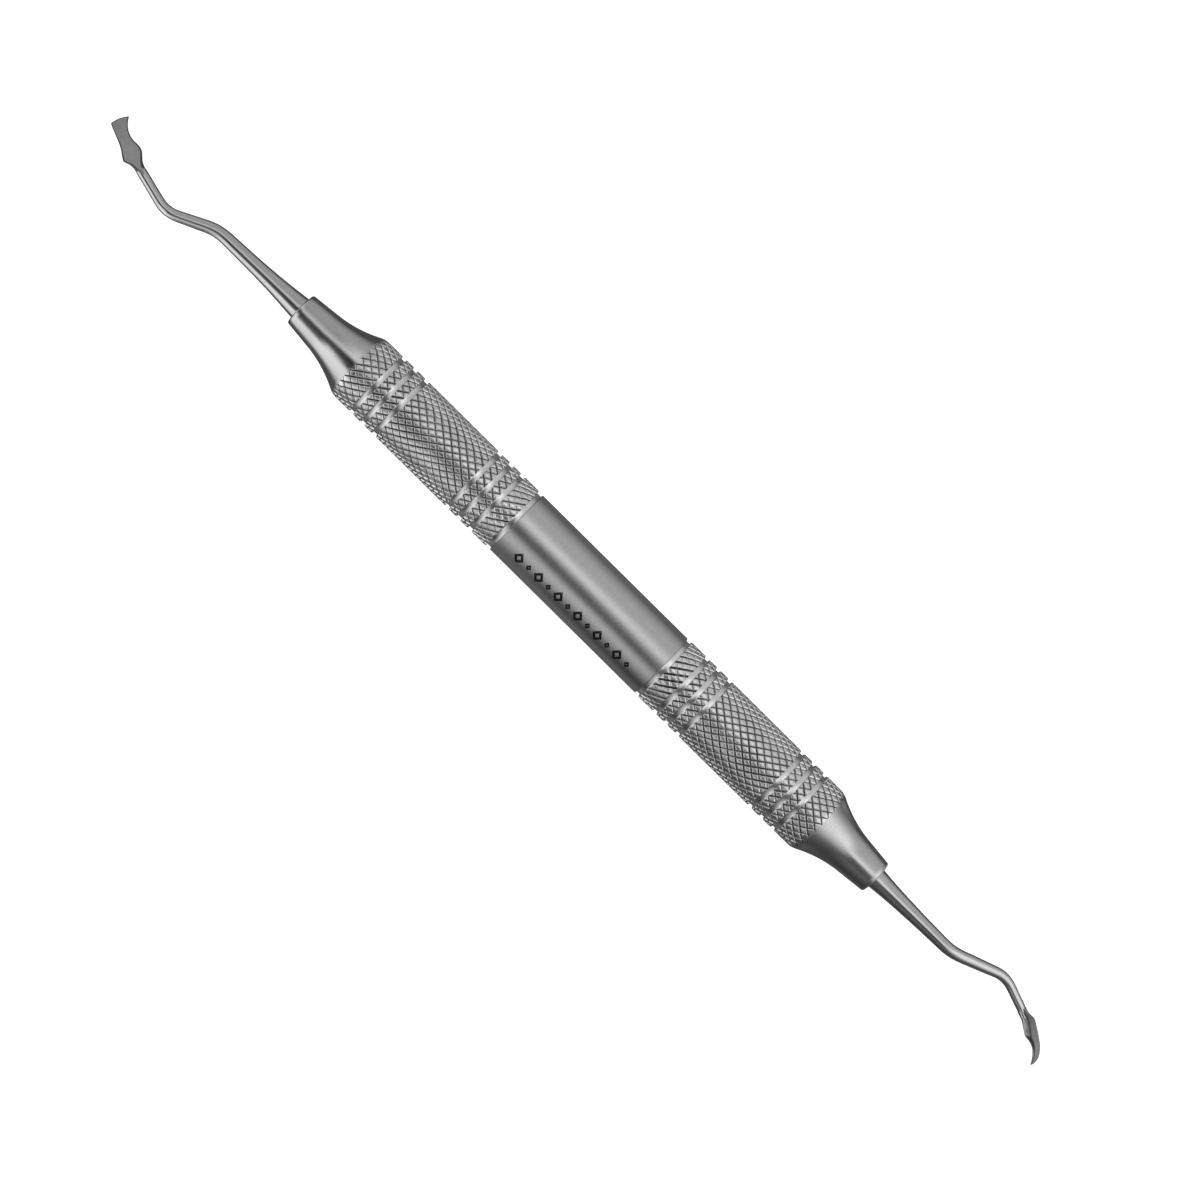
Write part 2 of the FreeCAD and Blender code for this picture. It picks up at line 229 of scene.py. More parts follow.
def steel(name, grey, roughness, spread, bump, grain=(1.0, 0.04, 0.04), grain_scale=9000.0,
          painted_cut_shade=None, blotch=0.06, relief_depth=0.00001):
    """Stainless steel whose fine tool marks, tone and gloss all vary over the surface.

    spread and blotch say how far gloss and tone vary, grain stretches the tool marks along an
    axis, and painted_cut_shade, a painted shade, is what is left of the tone at the bottom of a
    knurl's cuts."""
    material, tree, shader = new_material(name, grey, 1.0, roughness)
    place = tree.place()
    marks = tree.noise(tree.stretched(place, grain), grain_scale, 4.0, 0.6)
    patches = tree.noise(place, PATCH_SCALE, 3.0, 0.55)
    specks = tree.noise(place, SPECK_SCALE, 2.0, 0.5)
    gloss = tree.math("ADD", tree.remap(marks, 0.25, 0.75, roughness - spread, roughness + spread),
                      tree.remap(patches, 0.3, 0.7, -spread * 0.5, spread * 0.5))
    tone = tree.math("ADD", tree.remap(marks, 0.2, 0.8, grey * (1 - blotch), grey * (1 + blotch)),
                     tree.remap(specks, 0.3, 0.7, -0.02, 0.02))
    # Painted shade: the tone is darkened towards the bottom of a knurl's cuts.
    if painted_cut_shade is not None:
        depth = tree.new("ShaderNodeAttribute", attribute_name="cut").outputs["Fac"]
        tone = tree.math("MULTIPLY", tone, tree.remap(depth, 0.3, 0.88, 1.0, painted_cut_shade, smooth=True))
        gloss = tree.math("ADD", gloss, tree.remap(depth, 0.3, 1.0, 0.0, 0.15))
    tree.link(tree.grey(tone), shader.inputs["Base Color"])
    tree.link(gloss, shader.inputs["Roughness"])
    relief = tree.new("ShaderNodeBump")
    relief.inputs["Strength"].default_value = bump
    relief.inputs["Distance"].default_value = relief_depth
    tree.link(marks, relief.inputs["Height"])
    tree.link(relief.outputs["Normal"], shader.inputs["Normal"])
    return material


satin = steel("satin_turned_steel", 0.62, 0.24, 0.04, 0.3)
# The knurl's cut bottoms keep only 0.12 of the tone, a painted shade.
knurled = steel("knurled_steel", 0.84, 0.16, 0.05, 0.7, grain=(1, 1, 1), grain_scale=3600.0,
                painted_cut_shade=0.12, blotch=0.14, relief_depth=0.00003)
turned = steel("turned_groove_steel", 0.9, 0.09, 0.03, 0.2)
polished = steel("polished_cone_steel", 0.66, 0.12, 0.03, 0.2)
shank_steel = steel("polished_shank_steel", 0.7, 0.06, 0.02, 0.1, grain=(0.1, 1, 1),
                    grain_scale=5200.0)
ground = steel("ground_flat_steel", 0.38, 0.42, 0.1, 0.8, grain=(0.25, 1, 1), grain_scale=5200.0,
               blotch=0.2, relief_depth=0.00002)
side_ground = steel("ground_side_steel", 0.6, 0.3, 0.06, 0.6, grain=(0.12, 1, 1),
                    grain_scale=6200.0)
# Painted shade: near-black steel put on the blade's rounded edges and cutting edge, where they
# would reflect dark.
painted_edge_shade = steel("painted_edge_shade_steel", 0.13, 0.3, 0.06, 0.5, grain=(0.2, 1, 1),
                    grain_scale=6800.0)
etched = steel("etched_black_steel", 0.035, 0.5, 0.05, 0.4, grain=(1, 1, 1), grain_scale=4200.0)

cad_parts["centre_barrel"].data.materials.clear()
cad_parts["centre_barrel"].data.materials.append(satin)

# ---------------------------------------------------------------- nose cones' outline

SHOULDER_STEPS = 24
FLARE_STEPS = 40
NOSE_STEPS = 8


def cone_profile():
    """(x, radius) along the cone, from the shoulder band's outer end to the nose's edge."""
    start = Vector((CONE_START + SHOULDER_BAND, CREST_RADIUS))
    nose = Vector((NOSE_FACE, NOSE_RADIUS))
    back = Vector((-math.cos(TAPER), math.sin(TAPER)))
    outward = Vector((math.sin(TAPER), math.cos(TAPER)))
    shoulder_centre = start - Vector((0, SHOULDER_ARC))
    gap = nose + outward * FLARE_ARC - shoulder_centre
    half = gap.dot(back)
    run = -half - math.sqrt(half ** 2 - gap.dot(gap) + (SHOULDER_ARC + FLARE_ARC) ** 2)
    flare_centre = nose + back * run + outward * FLARE_ARC
    meeting_angle = math.acos((flare_centre - shoulder_centre).y / (SHOULDER_ARC + FLARE_ARC))
    points = []
    for step in range(SHOULDER_STEPS + 1):
        angle = meeting_angle * step / SHOULDER_STEPS
        points.append((shoulder_centre.x + SHOULDER_ARC * math.sin(angle),
                       shoulder_centre.y + SHOULDER_ARC * math.cos(angle)))
    for step in range(1, FLARE_STEPS + 1):
        angle = meeting_angle + (TAPER - meeting_angle) * step / FLARE_STEPS
        points.append((flare_centre.x - FLARE_ARC * math.sin(angle),
                       flare_centre.y - FLARE_ARC * math.cos(angle)))
    flare_end = Vector(points[-1])
    edge = nose + back * NOSE_EDGE
    for step in range(1, NOSE_STEPS + 1):
        share = step / NOSE_STEPS
        place = flare_end * (1 - share) + edge * share
        points.append((place.x, place.y))
    return points


CONE = cone_profile()


def cone_radius(x):
    """The cone's radius at places along the handle, and the crests' before it begins."""
    return np.interp(x, [p[0] for p in CONE], [p[1] for p in CONE], left=CREST_RADIUS)


# ---------------------------------------------------------------- knurling

# Two families of straight cuts wound round the handle, seen as phases that grow by one from a
# cut to the next.  They have unequal numbers of starts and the same spacing along the handle.
STARTS = (29, 24)
AXIAL_PITCH = 1.459
CUT_DEPTH = 0.2
CUT_SHARES = (0.2, 0.175)    # half width of a cut, as a share of the spacing
CUT_STOPS = (0.0, 0.4, 0.8, 0.93, 1.06, 1.2)    # mesh lines on half a cut, as shares of that
WALL_END = 0.8               # where the straight wall ends and the soft lip begins, the same way
LIP_END = 1.2
LIP_DEPTH = 0.2              # what is left of the cut there, as a share of its depth
WIDE_RING_BALANCE = (1.25, 0.35)    # the wide ring's cuts show mostly one way
UNEVEN = 0.3                 # how far the cuts' depth wanders, as a share
CROWN = 0.09                 # a diamond's corners lie half of this below its middle
TOP_WAVE = 0.008             # unevenness of the diamonds' tops
EDGE_BREAK = 0.09            # bevel at the ends of a land
LAND_FOOT = GROOVE_RADIUS - 0.01    # where the walls of a land and of the grooves' tube end
SHOULDER_KNURL = 3.5         # the shoulder's knurl runs on until the cone's surface cuts it off
BARE_CONE = 3.4              # where the polished piece takes over, just before that
BACK_STEP = (0.01, 0.03)     # its back lies behind and below the start of its skin
NOSE_BREAK = (0.06, 0.07)    # middle of the nose's rounded edge, in from the corner
NOSE_RING = 1.9              # vertices on the nose's face, which keep its shading flat


def cell_stops(share):
    """Places across one cell, dense on the cut's walls."""
    ramp = [stop * share for stop in CUT_STOPS]
    middle = list(np.linspace(ramp[-1], 1 - ramp[-1], 6)[1:-1])
    return np.array(ramp + middle + [1 - value for value in reversed(ramp[1:])])


def wander(theta, x, seed):
    """A slow, smooth unevenness between -1 and 1 that closes on itself round the handle."""
    return (0.5 * np.sin(theta + 0.31 * x + seed)
            + 0.3 * np.sin(2 * theta - 0.52 * x + 1.7 * seed)
            + 0.2 * np.sin(3 * theta + 0.93 * x + 2.9 * seed))


def wall(distance, share):
    """How deep a cut is at a distance from its line, from 1 on the line to 0 past its soft lip."""
    reach = distance / share
    lip_width = LIP_END - WALL_END
    lip = LIP_DEPTH * (np.clip(LIP_END - reach, 0, lip_width) / lip_width) ** 2
    return np.where(reach < WALL_END, 1 - reach, lip)


def knurled_band(name, start, end, side, seed, outer=None, balance=(1.0, 1.0), edges=(True, True)):
    """One knurled land between two places along the handle.

    outer gives a surface that the land must stay inside, balance the depths of the two families
    of cuts, and edges says which of its inner and outer end is bevelled."""
    stops = [cell_stops(share) for share in CUT_SHARES]
    counts = [len(stop) for stop in stops]
    first, second = STARTS
    total = first + second
    index = {}
    coordinates = []
    faces = []
    margin = 1.2    # whole cells are made past the ends, then cut off
    lowest, highest = sorted((side * start, side * end))

    def vertex(i, k, j, m):
        """The number of the vertex on stops k and m of cell i, j; cells meet round the handle."""
        if k == counts[0]:
            i, k = i + 1, 0
        if m == counts[1]:
            j, m = j + 1, 0
        turns = (i + j) // total
        key = (i - first * turns, k, j - second * turns, m)
        if key not in index:
            index[key] = len(coordinates)
            one = key[0] + stops[0][k]
            two = key[2] + stops[1][m]
            coordinates.append((one, two, stops[0][k], stops[1][m]))
        return index[key]

    reach = int((abs(lowest) + abs(highest)) / AXIAL_PITCH) + total + 4
    for i in range(-reach, reach):
        for j in range(-reach, reach):
            if not 0 <= i + j < total:
                continue
            x = AXIAL_PITCH * (first * (j + 0.5) - second * (i + 0.5)) / total
            if not lowest - margin < x < highest + margin:
                continue
            for k in range(counts[0]):
                for m in range(counts[1]):
                    faces.append((vertex(i, k, j, m), vertex(i, k + 1, j, m),
                                  vertex(i, k + 1, j, m + 1), vertex(i, k, j, m + 1)))
    data = np.array(coordinates)
    theta = 2 * math.pi * (data[:, 0] + data[:, 1]) / total
    x = AXIAL_PITCH * (first * data[:, 1] - second * data[:, 0]) / total
    near = [np.minimum(data[:, 2], 1 - data[:, 2]), np.minimum(data[:, 3], 1 - data[:, 3])]
    uneven = [1 + UNEVEN * wander(theta, x, seed), 1 + UNEVEN * wander(theta, x, seed + 2.2)]
    cuts = [balance[n] * uneven[n] * wall(near[n], CUT_SHARES[n]) for n in range(2)]
    cut = np.maximum(cuts[0], cuts[1])
    crown = CROWN * ((0.5 - near[0]) ** 2 + (0.5 - near[1]) ** 2)
    wave = TOP_WAVE * (1 + np.sin(9.7 * x + 61 * theta + seed)
                       * np.cos(8.3 * x - 47 * theta - seed))
    radius = CREST_RADIUS - CUT_DEPTH * cut - crown - wave
    if outer is not None:
        radius = np.minimum(radius, outer(np.abs(x)))
    vertices = np.stack([x, radius * np.sin(theta), radius * np.cos(theta)], 1)
    mesh = new_mesh(name, vertices, faces)
    depths = mesh.attributes.new("cut", "FLOAT", "POINT")
    depths.data.foreach_set("value", np.clip(cut, 0, 1).tolist())
    trim_band(mesh, lowest, highest, side, edges)
    return show(mesh, knurled)


def trim_band(mesh, lowest, highest, side, edges):
    """Cuts the band off square at both ends, bevels them and walls them down to the groove."""
    work = bmesh.new()
    work.from_mesh(mesh)
    inner_end, outer_end = (lowest, highest) if side > 0 else (highest, lowest)
    bevelled = [x for x, wanted in ((inner_end, edges[0]), (outer_end, edges[1])) if wanted]

    def slice_at(x, outward, clear):
        bmesh.ops.bisect_plane(work, geom=work.verts[:] + work.edges[:] + work.faces[:],
                               plane_co=(x * MM, 0, 0), plane_no=(outward, 0, 0),
                               clear_outer=clear, dist=1e-7)

    def set_radius(vertex, radius):
        share = radius / math.hypot(vertex.co.y, vertex.co.z)
        vertex.co.y *= share
        vertex.co.z *= share

    for x in (lowest, highest):
        outward = -1 if x == lowest else 1
        slice_at(x, outward, True)
        if x in bevelled:
            slice_at(x - outward * EDGE_BREAK, outward, False)
    for vertex in work.verts:
        distance = min(abs(vertex.co.x / MM - x) for x in bevelled)
        if distance < EDGE_BREAK:
            limit = (CREST_RADIUS - (EDGE_BREAK - distance)) * MM
            if math.hypot(vertex.co.y, vertex.co.z) > limit:
                set_radius(vertex, limit)
    for x in (lowest, highest):
        rim = [edge for edge in work.edges
               if edge.is_boundary and all(abs(v.co.x / MM - x) < 1e-3 for v in edge.verts)]
        for edge in rim:
            edge.smooth = False
        made = bmesh.ops.extrude_edge_only(work, edges=rim)["geom"]
        for vertex in (item for item in made if isinstance(item, bmesh.types.BMVert)):
            set_radius(vertex, LAND_FOOT * MM)
    bmesh.ops.bridge_loops(work, edges=[edge for edge in work.edges if edge.is_boundary])
    bmesh.ops.recalc_face_normals(work, faces=work.faces[:])
    work.to_mesh(mesh)
    work.free()


# The grip's lands in order from the barrel, with a groove before each and one after the last.
LANDS = [("wide_ring", WIDE_RING), ("ring_1", RING), ("ring_2", RING), ("main_band", MAIN_BAND),
         ("ring_3", RING), ("ring_4", RING)]
# A groove's floor across its width, as (share of the width, lift): small fillets and a faint dip.
FLOOR_SHAPE = ((0.0, 0.04), (0.03, 0.01), (0.07, 0.0), (0.5, -0.003), (0.93, 0.0), (0.97, 0.01),
               (1.0, 0.04))


def groove_floor(side, name):
    """The turned tube under the lands, seen at the bottom of the grooves."""
    x = BARREL_HALF
    outline = [(x, LAND_FOOT)]
    for land in [width for label, width in LANDS] + [0.0]:
        outline += [(x + GROOVE * share, GROOVE_RADIUS + lift) for share, lift in FLOOR_SHAPE]
        x += GROOVE + land
    outline += [(x, LAND_FOOT), (x, GRIP_BORE_RADIUS), (BARREL_HALF, GRIP_BORE_RADIUS)]
    return lathe(name, outline, turned, side=side, ring=True)


def cone_outline():
    """The polished cone's section: its skin, the nose's edge and face, the bore and the back."""
    outline = [(x, radius) for x, radius in CONE if x > CONE_START + BARE_CONE]
    back, skin = outline[0][0] - BACK_STEP[0], outline[0][1] - BACK_STEP[1]
    return outline + [(NOSE_FACE - NOSE_BREAK[0], NOSE_RADIUS - NOSE_BREAK[1]),
                      (NOSE_FACE, NOSE_RADIUS - NOSE_EDGE), (NOSE_FACE, NOSE_RING),
                      (NOSE_FACE, TANG_RADIUS), (back, TANG_RADIUS), (back, skin)]


for side, letter in ((-1, "a"), (1, "b")):
    x = BARREL_HALF + GROOVE
    grip = []
    for number, (label, width) in enumerate(LANDS):
        balance = WIDE_RING_BALANCE if label == "wide_ring" else (1.0, 1.0)
        grip.append(knurled_band(f"knurl_{label}_{letter}", x, x + width, side,
                                 0.7 * number + 2.1 * side, balance=balance))
        x += width + GROOVE
    grip.append(groove_floor(side, f"groove_floor_{letter}"))
    for piece in grip:
        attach(piece, "root")
        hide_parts(f"grip_sleeve_{letter}")
    shoulder = knurled_band(f"knurl_shoulder_{letter}", CONE_START, CONE_START + SHOULDER_KNURL,
                            side, 4.4 + side, outer=cone_radius, edges=(True, False))
    cone = lathe(f"cone_{letter}", cone_outline(), polished, side=side, ring=True)
    for piece in (shoulder, cone):
        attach(piece, "root")
        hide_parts(f"nose_cone_{letter}")

# ---------------------------------------------------------------- working ends

# Drawn with the handle's axis along +X and the nose face at x = 0, as on the CAD model, apart
# from end B's first blade section, which swells out of the shank more gently here.
# corners: of the shank's middle line, which BENDS rounds.  radii: (distance along it, radius).
# base: where the blade's distances are counted from; heading turns the blade in the picture's
# plane and lean tips its flat out of it, in degrees.  edge_bow: how far the cutting edge bulges.
# sections: (distance, rise of the flat, low and high side of it, thickness, roundness).
QUARTER_BOW = math.tan(math.pi / 8) / 2    # height of a quarter circle's arc, over its chord
BENDS = (7.0, 4.0)
RUN_SPACING = 1.2            # of the sections on a straight run
BEND_STEP = 9                # degrees between sections in a bend
SHANK_ROUNDING = 0.15        # where a section's four arcs meet, as a share of half its square
BLADE_ROUNDING = (0.14, 0.2)    # the least and most rounding of the blade's edges
BLADE_ROUNDING_SHARE = 0.38     # of the thickness, between those two
END_A = {
    "corners": [(0.0, 0.0, 0.0), (14.71, 0.28, 0.0), (21.09, 3.35, 0.85), (26.99, 1.9, -0.74)],
    "radii": [(0.0, 1.68), (1.4, 1.54), (2.7, 1.41), (4.7, 1.25), (6.8, 1.13), (8.9, 1.04),
              (12.1, 0.955), (14.1, 0.9), (17.5, 0.83), (21.0, 0.76), (24.0, 0.7), (30.0, 0.7)],
    "base": (29.29, 1.34, -1.03),
    "heading": -24.6,
    "lean": 0.0,
    "edge_bow": 0.2,
    "sections": [(-1.46, 0.6, -0.2, 0.8, 1.0, 0.9), (-0.68, 0.28, -0.66, 0.93, 0.85, 0.7),
                 (0.0, 0.0, -1.28, 1.2, 0.8, 0.4), (0.6, -0.26, -1.3, 1.34, 0.75, 0.2),
                 (1.41, -0.63, -1.17, 1.18, 0.6, 0.1), (2.32, -1.09, -1.12, 0.78, 0.5, 0.0),
                 (3.22, -1.59, -1.16, 0.59, 0.45, 0.0), (4.07, -2.1, -1.21, 0.64, 0.38, 0.0),
                 (4.92, -2.66, -1.28, 0.91, 0.26, 0.0), (5.68, -3.18, -1.27, 1.27, 0.08, 0.0)],
}
END_B = {
    "corners": [(0.0, 0.0, 0.0), (13.98, 0.04, 0.0), (21.71, 2.81, -2.3), (26.28, 1.17, -2.14)],
    "radii": [(0.0, 1.51), (1.4, 1.37), (2.6, 1.27), (4.7, 1.145), (6.8, 1.045), (8.9, 0.965),
              (12.1, 0.89), (14.1, 0.87), (18.1, 0.815), (21.1, 0.74), (24.4, 0.65), (30.0, 0.64)],
    "base": (28.05, 1.20, -1.94),
    "heading": -44.2,
    "lean": 62.0,
    "edge_bow": 0.0,
    "sections": [(-0.9, -0.6, -0.45, 0.85, 1.0, 1.0), (0.0, -0.08, -1.24, 1.06, 1.0, 0.6),
                 (1.04, 0.25, -1.21, 1.25, 1.05, 0.3), (2.02, 0.4, -1.36, 1.45, 0.9, 0.1),
                 (2.84, 0.47, -1.51, 0.92, 0.6, 0.0), (3.65, 0.48, -1.72, 0.42, 0.44, 0.0),
                 (4.56, 0.38, -1.76, 0.27, 0.36, 0.0), (5.35, 0.19, -1.56, 0.43, 0.24, 0.0),
                 (5.93, -0.05, -0.55, 0.7, 0.08, 0.0)],
}


def rounded_path(corners, bends):
    """Stations (place, direction) along straight runs joined by tangent arcs."""
    points = [Vector(corner) for corner in corners]
    stations = [(points[0], (points[1] - points[0]).normalized())]
    for before, corner, after, radius in zip(points, points[1:], points[2:], bends):
        arriving = (corner - before).normalized()
        leaving = (after - corner).normalized()
        turn = arriving.angle(leaving)
        reach = radius * math.tan(turn / 2)
        axis = arriving.cross(leaving).normalized()
        centre = corner - arriving * reach + axis.cross(arriving) * radius
        steps = max(2, round(math.degrees(turn) / BEND_STEP))
        for step in range(steps + 1):
            swing = Matrix.Rotation(turn * step / steps, 3, axis)
            stations.append((centre + swing @ (corner - arriving * reach - centre),
                             swing @ arriving))
    stations.append((points[-1], (points[-1] - points[-2]).normalized()))
    filled = [stations[0]]
    for place, direction in stations[1:]:
        last, heading = filled[-1]
        steps = math.ceil((place - last).length / RUN_SPACING)
        for step in range(1, steps):
            filled.append((last + (place - last) * (step / steps), heading))
        filled.append((place, direction))
    return filled


def blade_directions(end):
    """Unit vectors along the blade and across its flat."""
    heading = math.radians(end["heading"])
    lean = math.radians(end["lean"])
    along = Vector((math.cos(heading), math.sin(heading), 0))
    level = Vector((0, 0, 1)).cross(along)
    return along, Vector((0, 0, 1)) * math.sin(lean) - level * math.cos(lean)


def end_sections(end):
    """For each section: its four corners, the bows of its four edges, and its edges' rounding."""
    along, across = blade_directions(end)
    rows = []
    travelled = 0.0
    stations = rounded_path(end["corners"], BENDS)
    last = stations[0][0]
    distances, radii = zip(*end["radii"])
    for place, direction in stations:
        travelled += (place - last).length
        last = place
        reach = np.interp(travelled, distances, radii) * math.sqrt(0.5)
        side = (across - direction * across.dot(direction)).normalized()
        front = side.cross(direction)
        corners = [place - side * reach + front * reach, place + side * reach + front * reach,
                   place + side * reach - front * reach, place - side * reach - front * reach]
        rows.append((corners, [QUARTER_BOW] * 4, SHANK_ROUNDING * reach))
    front = across.cross(along)
    for distance, rise, low, high, thickness, roundness in end["sections"]:
        place = Vector(end["base"]) + along * distance
        corners = [place + across * v + front * h for v, h in
                   ((low, rise), (high, rise), (high, rise - thickness), (low, rise - thickness))]
        bow = roundness * QUARTER_BOW
        least, most = BLADE_ROUNDING
        rounding = min(most, max(least, BLADE_ROUNDING_SHARE * thickness))
        rows.append((corners, [0.0, bow, bow, bow], rounding))
    return rows


def smooth_rows(values, places, wanted):
    """Catmull-Rom reading of row values along a chord-length scale."""
    slopes = np.gradient(values, places, axis=0)
    result = []
    for place in wanted:
        n = min(max(np.searchsorted(places, place) - 1, 0), len(places) - 2)
        span = places[n + 1] - places[n]
        t = (place - places[n]) / span
        result.append(values[n] * (2 * t ** 3 - 3 * t ** 2 + 1)
                      + values[n + 1] * (3 * t ** 2 - 2 * t ** 3)
                      + slopes[n] * span * (t ** 3 - 2 * t ** 2 + t)
                      + slopes[n + 1] * span * (t ** 3 - t ** 2))
    return np.array(result)


EDGE_STOPS = [0.0, 0.03, 0.09, 0.18, 0.3, 0.43, 0.57, 0.7, 0.82, 0.91, 0.97, 1.0]
CORNER_POINTS = 3
POINTS_PER_EDGE = len(EDGE_STOPS) + CORNER_POINTS
ROWS_PER_SECTION = 8
TIP_BLEND = 1.6              # length of blade over which the cutting edge's bulge comes in
FLAT, SIDE, EDGE = 1, 2, 3    # material slots of a working end, after the shank's; EDGE is the painted dark edge shade
EDGE_LINE = 0.2              # width of the painted shade line at the cutting edge
FLAT_ROOT = 1.0              # how far before the first blade section the grinding begins
FLAT_LEAD = 0.6              # and how much earlier than that the flat's tongue starts
TONGUE = (0.1, 0.35)         # half width of the tongue at its start, and what it gains per mm
EDGES_FROM = 0.4             # where the painted edge shade and the ground sides start, past the root
SIDES_FROM = 1.6


def ring_points(corners, bows, rounding):
    """The outline of one section: four bowed edges, each with a rounded corner after it."""
    middle = corners.mean(0)
    ends = []
    outline = []
    for n in range(4):
        here, there = corners[n], corners[(n + 1) % 4]
        chord = there - here
        length = np.linalg.norm(chord)
        outward = (here + there) / 2 - middle
        outward = outward - chord * (outward @ chord) / max(length ** 2, 1e-12)
        outward = outward / max(np.linalg.norm(outward), 1e-9)
        sagitta = bows[n] * length
        cut = min(rounding / max(length, 1e-9), 0.3)
        edge = []
        for stop in EDGE_STOPS:
            share = cut + (1 - 2 * cut) * stop
            if bows[n] > 1e-4:
                radius = (length ** 2 / 4 + sagitta ** 2) / (2 * sagitta)
                offset = (share - 0.5) * length
                lift = math.sqrt(max(radius ** 2 - offset ** 2, 0)) - (radius - sagitta)
            else:
                lift = 0.0
            edge.append(here + chord * share + outward * lift)
        ends.append(edge)
    for n in range(4):
        outline += ends[n]
        first, last, knee = ends[n][-1], ends[(n + 1) % 4][0], corners[(n + 1) % 4]
        for step in range(1, CORNER_POINTS + 1):
            t = step / (CORNER_POINTS + 1)
            outline.append(first * (1 - t) ** 2 + knee * 2 * t * (1 - t) + last * t ** 2)
    return outline


def working_end(letter, side, end):
    """Shank and blade in one piece, with the blade's ground faces and its painted edge shade
    marked out.
    """
    rows = end_sections(end)
    corners = np.array([[list(corner) for corner in row[0]] for row in rows])
    bows = np.array([row[1] for row in rows])
    rounding = np.array([row[2] for row in rows])
    centres = corners.mean(1)
    places = np.concatenate([[0], np.cumsum(np.linalg.norm(np.diff(centres, axis=0), axis=1))])
    wanted = np.concatenate([np.linspace(low, high, ROWS_PER_SECTION + 1)[:-1]
                             for low, high in zip(places, places[1:])] + [places[-1:]])
    fine = smooth_rows(corners.reshape(len(rows), -1), places, wanted).reshape(-1, 4, 3)
    fine_bows = np.stack([np.interp(wanted, places, bows[:, n]) for n in range(4)], 1)
    fine_rounding = np.interp(wanted, places, rounding)
    along, across = blade_directions(end)
    base = np.array(end["base"])
    vertices = []
    for quad, bow, radius in zip(fine, fine_bows, fine_rounding):
        vertices += ring_points(quad, bow, radius)
    vertices = np.array(vertices)
    distance = (vertices - base) @ np.array(along)
    sideways = (vertices - base) @ np.array(across)
    tip = end["sections"][-1]
    share = np.clip((distance - tip[0] + TIP_BLEND) / TIP_BLEND, 0, 1) ** 2
    middle, half = (tip[2] + tip[3]) / 2, (tip[3] - tip[2]) / 2
    bulge = end["edge_bow"] * share * (1 - ((sideways - middle) / half) ** 2)
    vertices += np.outer(bulge - end["edge_bow"] * 0.5 * share, np.array(along))
    columns = 4 * POINTS_PER_EDGE
    faces = tube_faces(len(wanted), columns)
    last = (len(wanted) - 1) * columns
    faces += [tuple(range(last, last + columns)), tuple(range(columns))]
    vertices[:, 0] += NOSE_FACE
    if side < 0:
        vertices[:, :2] *= -1
    item = show(new_mesh(f"blade_and_shank_{letter}", vertices, faces), shank_steel)
    for material in (ground, side_ground, painted_edge_shade):
        item.data.materials.append(material)
    root = places[len(rows) - len(end["sections"])] - FLAT_ROOT
    for cap in item.data.polygons[-2:]:
        cap.use_smooth = False
    for polygon in item.data.polygons[:-2]:
        row, column = divmod(polygon.index, columns)
        edge, step = divmod(column, POINTS_PER_EDGE)    # edge 0 is the flat
        on_edge = step < len(EDGE_STOPS) - 1
        past = wanted[row] - root
        tongue = TONGUE[0] + TONGUE[1] * (past + FLAT_LEAD)
        centred = abs((EDGE_STOPS[step] + EDGE_STOPS[step + 1]) / 2 - 0.5) if on_edge else 1.0
        # The cutting edge and the blade's rounded corners get the painted edge shade.
        if edge == 0 and wanted[row] > places[-1] - EDGE_LINE:
            polygon.material_index = EDGE
        elif edge == 0 and on_edge and past > -FLAT_LEAD and centred < tongue:
            polygon.material_index = FLAT
        elif past > EDGES_FROM and not on_edge and edge in (0, 3):
            polygon.material_index = EDGE
        elif past > SIDES_FROM:
            polygon.material_index = SIDE
    clean(item.data)
    return item


for letter, side, end in (("a", -1, END_A), ("b", 1, END_B)):
    piece = working_end(letter, side, end)
    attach(piece, "root")
    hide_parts(f"working_end_{letter}")

# ---------------------------------------------------------------- etched marks on the barrel

MARK_COUNT = 12
MARK_PITCH = 1.78
MARK_ARC = -3.32             # place of the row round the barrel, as an arc length from the top
MARK_TOP = BARREL_RADIUS + 0.005
MARK_FLOOR = BARREL_RADIUS - 0.03
MARK_STEPS = 8               # points on each straight side, so that it follows the barrel
# Half length and half height of a diamond's outline and of its hole.
LARGE_MARK = ((0.8, 1.05), (0.34, 0.46))
SMALL_MARK = ((0.42, 0.56), (0.1, 0.14))


def etched_mark(name, outer, inner):
    """A closed, very thin inlay with a hole; both outlines are loops of (x, arc length)."""
    fine = []
    for loop in (outer, inner):
        points = []
        for here, there in zip(loop, loop[1:] + loop[:1]):
            points += [tuple(np.array(here) * (1 - t) + np.array(there) * t)
                       for t in np.arange(MARK_STEPS) / MARK_STEPS]
        fine.append(points)
    count = len(fine[0])
    vertices = []
    for radius in (MARK_TOP, MARK_FLOOR):
        for points in fine:
            vertices += [(x, radius * math.sin(arc / BARREL_RADIUS),
                          radius * math.cos(arc / BARREL_RADIUS)) for x, arc in points]
    faces = []
    for n in range(count):
        m = (n + 1) % count
        for base in (0, count):
            faces.append((base + n, base + m, 2 * count + base + m, 2 * count + base + n))
        for base in (0, 2 * count):
            faces.append((base + n, base + m, base + count + m, base + count + n))
    item = show(new_mesh(name, vertices, faces), etched, smooth=False)
    clean(item.data)
    return item


for number in range(MARK_COUNT):
    x = (number - (MARK_COUNT - 1) / 2) * MARK_PITCH
    sizes = LARGE_MARK if number % 2 == 0 else SMALL_MARK
    outer, inner = [[(x - w, MARK_ARC), (x, MARK_ARC - h), (x + w, MARK_ARC), (x, MARK_ARC + h)]
                    for w, h in sizes]
    mark = etched_mark(f"etched_diamond_{number}", outer, inner)
    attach(mark, "root")

# ---------------------------------------------------------------- floor, light, camera

FLOOR_HALF = 1500.0
FLOOR_HEIGHT = -5.02
FLOOR_GLOW = 0.85


